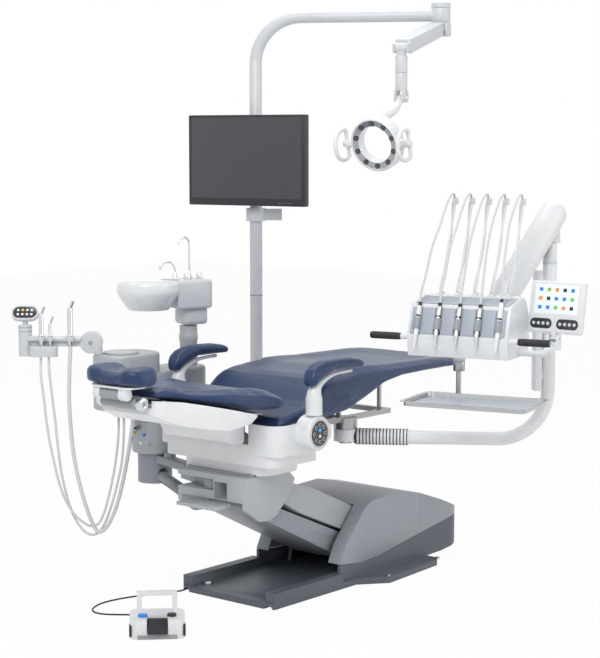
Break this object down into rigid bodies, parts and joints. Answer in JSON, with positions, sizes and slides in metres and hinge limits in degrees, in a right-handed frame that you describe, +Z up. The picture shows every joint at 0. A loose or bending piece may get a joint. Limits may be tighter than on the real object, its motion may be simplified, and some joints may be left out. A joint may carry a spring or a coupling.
{
  "type": "dental treatment unit",
  "caption": "Reclining patient chair on a lifting base, with swing-arm instrument table, water unit with spittoon bowl, pole lamp, monitor and wired foot control.",
  "frame": {"origin": "centre of the four floor bolts, on the floor", "axes": "+X towards the patient's feet, +Y towards the patient's left, +Z up"},
  "size_m": [1.7371, 1.7976, 2.11],
  "materials": {
    "white_shell": "semi-gloss moulded plastic",
    "grey_cover": "satin light grey paint",
    "grey_plastic": "satin grey plastic covers",
    "dark_base": "satin slate-grey paint",
    "steel": "machined steel",
    "chrome": "polished",
    "dark_metal": "dark grey paint",
    "navy_leather": "soft-sheen navy synthetic leather",
    "dark_rubber": "dull",
    "dark_plastic": "satin dark plastic",
    "screen": "dark glossy screen",
    "hose_white": "smooth light grey hose",
    "button_blue": "glossy",
    "white_enamel": "high gloss"
  },
  "bodies": {
    "base": {"base_plate": "dark_base", "base_cover_front": "grey_plastic", "base_cover_rear": "grey_plastic", "base_frame": "steel", "pump_unit": "dark_metal", "foot_cable": "dark_rubber"},
    "lift_arm": {"lift_arm": "grey_cover"},
    "parallel_link": {"parallel_link": "grey_plastic"},
    "lift_cylinder": {"lift_cylinder": "dark_metal"},
    "lift_rod": {"lift_rod": "chrome"},
    "carrier": {"carrier": "grey_cover", "seat_frame": "steel", "seat_shell": "white_shell", "seat_cushion": "navy_leather", "armrest_hubs": "white_shell", "armrest_post_left": "white_shell", "armrest_pad_left": "navy_leather", "pole_bracket": "dark_metal", "lamp_pole": "grey_cover"},
    "armrest_right": {"armrest_post_right": "white_shell", "armrest_pad_right": "navy_leather"},
    "backrest": {"back_frame": "steel", "back_shell": "white_shell", "back_cushion": "navy_leather"},
    "headrest_slide": {"headrest_slide": "chrome"},
    "headrest_link": {"headrest_link": "dark_metal"},
    "headrest": {"headrest_shell": "white_shell", "headrest_pad": "navy_leather"},
    "monitor": {"monitor": "dark_plastic"},
    "lamp_knuckle": {"lamp_knuckle": "grey_cover"},
    "lamp_arm": {"lamp_arm": "grey_cover"},
    "lamp_drop": {"lamp_drop": "grey_cover"},
    "lamp_yoke": {"lamp_yoke": "grey_cover"},
    "lamp_head": {"lamp_head": "white_shell"},
    "delivery_arm": {"delivery_arm": "grey_cover"},
    "delivery_post": {"delivery_post": "grey_cover"},
    "balance_arm": {"balance_arm": "white_shell"},
    "delivery_knuckle": {"delivery_knuckle": "grey_cover"},
    "delivery_head": {"delivery_head": "white_shell", "instruments": "chrome", "instrument_hoses": "hose_white"},
    "whip_1": {"whip_arm_1": "steel"},
    "whip_2": {"whip_arm_2": "steel"},
    "whip_3": {"whip_arm_3": "steel"},
    "whip_4": {"whip_arm_4": "steel"},
    "whip_5": {"whip_arm_5": "steel"},
    "tray": {"tray_arm": "steel", "tray": "steel"},
    "touch_panel": {"touch_panel": "white_shell"},
    "unit_arm": {"unit_arm": "white_shell"},
    "unit_body": {"unit_body": "white_shell", "assist_hoses": "hose_white"},
    "bowl": {"bowl": "white_enamel", "bowl_taps": "chrome"},
    "assist_arm": {"assist_arm": "white_shell", "assist_instruments": "chrome"},
    "foot_control": {"foot_control": "white_shell"},
    "foot_pedal": {"foot_pedal": "dark_rubber"},
    "foot_button_blue": {"foot_button_blue": "button_blue"},
    "foot_button_dark": {"foot_button_dark": "dark_rubber"}
  },
  "joints": [
    {"name": "lift", "type": "hinge", "parent": "base", "child": "lift_arm", "pos_m": [0.145, 0, 0.19], "axis": [0, 1, 0], "range_deg": [-19, 2]},
    {"name": "link_pivot", "type": "hinge", "parent": "base", "child": "parallel_link", "pos_m": [0.133, 0, 0.112], "axis": [0, 1, 0], "range_deg": [-23.5, 2.5]},
    {"name": "carrier_level", "type": "hinge", "parent": "lift_arm", "child": "carrier", "pos_m": [-0.37509, 0, 0.41076], "axis": [0, 1, 0], "range_deg": [-2.5, 23.5]},
    {"name": "cylinder_pivot", "type": "hinge", "parent": "base", "child": "lift_cylinder", "pos_m": [0.43, 0, 0.09], "axis": [0, 1, 0], "range_deg": [-12, 12]},
    {"name": "ram_stroke", "type": "slide", "parent": "lift_cylinder", "child": "lift_rod", "axis": [-0.8499, 0, 0.5269], "range_m": [-0.06, 0.06]},
    {"name": "armrest_swing", "type": "hinge", "parent": "carrier", "child": "armrest_right", "pos_m": [-0.35108, -0.318, 0.62276], "axis": [0, 0, -1], "range_deg": [0, 90]},
    {"name": "recline", "type": "hinge", "parent": "carrier", "child": "backrest", "pos_m": [-0.40508, 0, 0.70576], "axis": [0, 1, 0], "range_deg": [0, 60]},
    {"name": "headrest_height", "type": "slide", "parent": "backrest", "child": "headrest_slide", "axis": [-1, 0, 0], "range_m": [0, 0.05]},
    {"name": "headrest_link_tilt", "type": "hinge", "parent": "headrest_slide", "child": "headrest_link", "pos_m": [-0.94008, 0, 0.75776], "axis": [0, 1, 0], "range_deg": [-25, 0]},
    {"name": "headrest_tilt", "type": "hinge", "parent": "headrest_link", "child": "headrest", "pos_m": [-0.98508, 0, 0.78976], "axis": [0, 1, 0], "range_deg": [-30, 0]},
    {"name": "monitor_tilt", "type": "hinge", "parent": "carrier", "child": "monitor", "pos_m": [0.16351, 0.41369, 1.523], "axis": [-0.1736, 0.9848, 0], "range_deg": [-8, 8]},
    {"name": "lamp_turn", "type": "hinge", "parent": "carrier", "child": "lamp_knuckle", "pos_m": [0.55962, -0.18042, 2.064], "axis": [0, 0, 1], "range_deg": [-40, 60]},
    {"name": "lamp_lift", "type": "hinge", "parent": "lamp_knuckle", "child": "lamp_arm", "pos_m": [0.50603, -0.20262, 2.008], "axis": [0.3827, -0.9239, 0], "range_deg": [-15, 5]},
    {"name": "lamp_level", "type": "hinge", "parent": "lamp_arm", "child": "lamp_drop", "pos_m": [0.00898, -0.4085, 1.914], "axis": [0.3827, -0.9239, 0], "range_deg": [-5.5, 15.5]},
    {"name": "lamp_swivel", "type": "hinge", "parent": "lamp_drop", "child": "lamp_yoke", "pos_m": [0.00898, -0.4085, 1.914], "axis": [0, 0, 1], "range_deg": [-60, 60]},
    {"name": "lamp_tilt", "type": "hinge", "parent": "lamp_yoke", "child": "lamp_head", "pos_m": [0.00898, -0.4085, 1.744], "axis": [-0.1045, 0.9945, 0], "range_deg": [-20, 20]},
    {"name": "delivery_swing", "type": "hinge", "parent": "carrier", "child": "delivery_arm", "pos_m": [0.03991, -0.142, 0.56076], "axis": [0, 0, 1], "range_deg": [-35, 50]},
    {"name": "post_swivel", "type": "hinge", "parent": "delivery_arm", "child": "delivery_post", "pos_m": [0.44011, -0.74665, 1.165], "axis": [0, 0, 1], "range_deg": [-25, 40]},
    {"name": "balance_lift", "type": "hinge", "parent": "delivery_post", "child": "balance_arm", "pos_m": [0.45411, -0.74665, 1.337], "axis": [-0.225, -0.9744, 0], "range_deg": [-25, 0]},
    {"name": "head_level", "type": "hinge", "parent": "balance_arm", "child": "delivery_knuckle", "pos_m": [0.19883, -0.68771, 1.027], "axis": [-0.225, -0.9744, 0], "range_deg": [-0.5, 25.5]},
    {"name": "head_swivel", "type": "hinge", "parent": "delivery_knuckle", "child": "delivery_head", "pos_m": [0.14524, -0.67534, 0.927], "axis": [0, 0, 1], "range_deg": [-30, 30]},
    {"name": "whip_swing_1", "type": "hinge", "parent": "delivery_head", "child": "whip_1", "pos_m": [0.04306, -0.56011, 1.067], "axis": [-0.2419, 0.9703, 0], "range_deg": [-3, 8]},
    {"name": "whip_swing_2", "type": "hinge", "parent": "delivery_head", "child": "whip_2", "pos_m": [0.05806, -0.62026, 1.067], "axis": [-0.2419, 0.9703, 0], "range_deg": [-3, 8]},
    {"name": "whip_swing_3", "type": "hinge", "parent": "delivery_head", "child": "whip_3", "pos_m": [0.07306, -0.68042, 1.067], "axis": [-0.2419, 0.9703, 0], "range_deg": [-3, 8]},
    {"name": "whip_swing_4", "type": "hinge", "parent": "delivery_head", "child": "whip_4", "pos_m": [0.08806, -0.74058, 1.067], "axis": [-0.2419, 0.9703, 0], "range_deg": [-3, 8]},
    {"name": "whip_swing_5", "type": "hinge", "parent": "delivery_head", "child": "whip_5", "pos_m": [0.10306, -0.80074, 1.067], "axis": [-0.2419, 0.9703, 0], "range_deg": [-3, 8]},
    {"name": "tray_swing", "type": "hinge", "parent": "delivery_head", "child": "tray", "pos_m": [0.01025, -0.66001, 0.837], "axis": [0, 0, 1], "range_deg": [-20, 20]},
    {"name": "panel_tilt", "type": "hinge", "parent": "delivery_head", "child": "touch_panel", "pos_m": [0.13182, -0.95744, 0.939], "axis": [-0.2419, 0.9703, 0], "range_deg": [-12, 6]},
    {"name": "unit_swing", "type": "hinge", "parent": "carrier", "child": "unit_arm", "pos_m": [-0.47508, 0.03, 0.40576], "axis": [0, 0, 1], "range_deg": [0, 30]},
    {"name": "unit_turn", "type": "hinge", "parent": "unit_arm", "child": "unit_body", "pos_m": [-0.33819, 0.45132, 0.46376], "axis": [0, 0, 1], "range_deg": [-30.5, 0.5]},
    {"name": "bowl_swivel", "type": "hinge", "parent": "unit_body", "child": "bowl", "pos_m": [-0.16119, 0.44632, 0.91876], "axis": [0, 0, 1], "range_deg": [-20, 60]},
    {"name": "assist_swing", "type": "hinge", "parent": "unit_body", "child": "assist_arm", "pos_m": [-0.58219, 0.48832, 0.83976], "axis": [0, 0, 1], "range_deg": [-15, 15], "deforming": ["assist_hoses"]},
    {"name": "foot_control_shift", "type": "slide", "parent": "base", "child": "foot_control", "axis": [-0.7071, -0.7071, 0], "range_m": [0, 0.1], "deforming": ["foot_cable"]},
    {"name": "pedal_press", "type": "hinge", "parent": "foot_control", "child": "foot_pedal", "pos_m": [-0.91773, -0.12773, 0.036], "axis": [-0.7071, 0.7071, 0], "range_deg": [-4, 0], "stiffness_Nm_per_rad": 8, "springref_deg": 11.46},
    {"name": "blue_press", "type": "slide", "parent": "foot_control", "child": "foot_button_blue", "axis": [0, 0, -1], "range_m": [0, 0.004], "stiffness_N_per_m": 300, "springref_m": -0.002},
    {"name": "dark_press", "type": "slide", "parent": "foot_control", "child": "foot_button_dark", "axis": [0, 0, -1], "range_m": [0, 0.004], "stiffness_N_per_m": 300, "springref_m": -0.002}
  ],
  "couplings": [
    {"joint": "link_pivot", "follows": "lift", "ratio": 1},
    {"joint": "carrier_level", "follows": "lift", "ratio": -1},
    {"joint": "cylinder_pivot", "follows": "lift", "ratio": 0.02922},
    {"joint": "ram_stroke", "follows": "lift", "m_per_rad": -0.06426},
    {"joint": "lamp_level", "follows": "lamp_lift", "ratio": -1},
    {"joint": "head_level", "follows": "balance_lift", "ratio": -1},
    {"joint": "unit_turn", "follows": "unit_swing", "ratio": -1}
  ]
}
